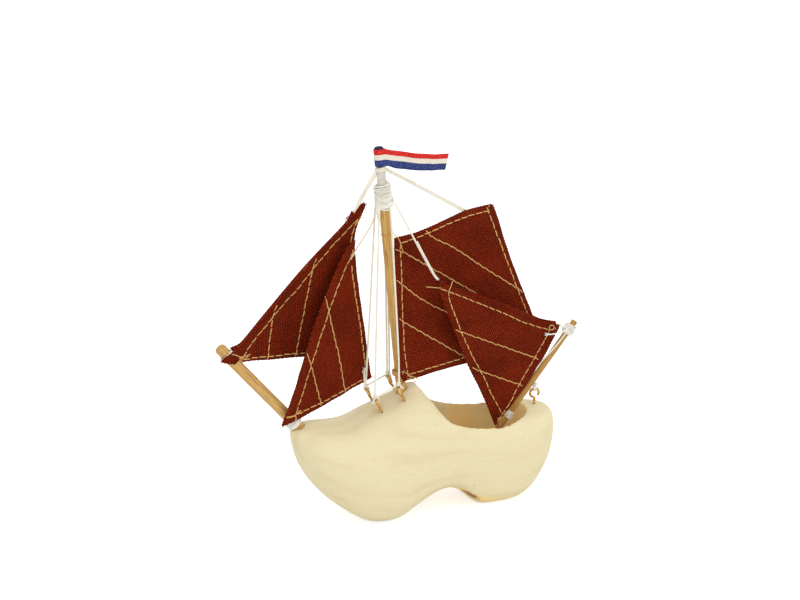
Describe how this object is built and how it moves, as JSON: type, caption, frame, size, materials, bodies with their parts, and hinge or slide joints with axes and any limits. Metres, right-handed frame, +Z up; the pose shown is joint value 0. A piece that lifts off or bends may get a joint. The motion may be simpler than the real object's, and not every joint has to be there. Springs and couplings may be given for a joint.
{
  "type": "toy boat",
  "caption": "Wooden clog rigged as a toy sailing boat: mast, bowsprit, stern pole, canvas sails, cord rigging and a ribbon flag. The sails swing and the flag turns.",
  "frame": {"origin": "middle of the bottom of the bounding box, on the surface the boat stands on", "axes": "+Z up; -X toward the bow (the clog's toe); -Y to port"},
  "size_m": [0.1863, 0.0522, 0.1849],
  "materials": {
    "poplar": "unfinished, sanded",
    "dowel": "smooth",
    "dark_dowel": "smooth",
    "cap_paint": "painted",
    "sleeve": "matte",
    "cord": "twisted cord",
    "ochre_thread": "thread",
    "canvas": "woven",
    "ribbon": "woven ribbon",
    "brass": "bright"
  },
  "bodies": {
    "boat": {"hull": "poplar", "mast": "dowel", "bowsprit": "dowel", "stern_pole": "dark_dowel", "mast_cap": "cap_paint", "masthead_sleeve": "sleeve", "masthead_lashing": "cord", "bowsprit_tip_lashing": "cord", "bowsprit_heel_lashing": "cord", "pole_top_lashing": "cord", "pole_foot_lashing": "cord", "port_fore_eye": "brass", "starboard_fore_eye": "brass", "port_aft_eye": "brass", "starboard_aft_eye": "brass", "stern_hook": "brass", "port_shroud": "cord", "starboard_shroud": "cord", "outer_jib_stay": "cord", "inner_jib_halyard": "cord", "inner_jib_tack_tie": "ochre_thread", "aft_stay": "cord", "aft_sail": "canvas", "aft_sail_tack_tie": "ochre_thread", "backstay": "cord"},
    "main": {"mainsail": "canvas", "peak_halyard": "cord", "throat_tie": "ochre_thread", "tack_tie": "ochre_thread"},
    "outer": {"outer_jib": "canvas"},
    "inner": {"inner_jib": "canvas"},
    "pennant": {"flag": "ribbon"}
  },
  "joints": [
    {"name": "mainsail_swing", "type": "hinge", "parent": "boat", "child": "main", "pos_m": [-0.0016, 0, 0.0623], "axis": [-0.0906, 0, 0.9959], "range_deg": [0, 30]},
    {"name": "outer_jib_swing", "type": "hinge", "parent": "boat", "child": "outer", "pos_m": [-0.08574, 0, 0.09222], "axis": [0.6691, 0, 0.7432], "range_deg": [0, 20]},
    {"name": "inner_jib_swing", "type": "hinge", "parent": "boat", "child": "inner", "pos_m": [-0.0627, -0.0064, 0.0525], "axis": [0.3891, 0.0722, 0.9184], "range_deg": [0, 8]},
    {"name": "flag_turn", "type": "hinge", "parent": "boat", "child": "pennant", "pos_m": [-0.0119, 0, 0.17543], "axis": [-0.0906, 0, 0.9959], "continuous": true}
  ]
}
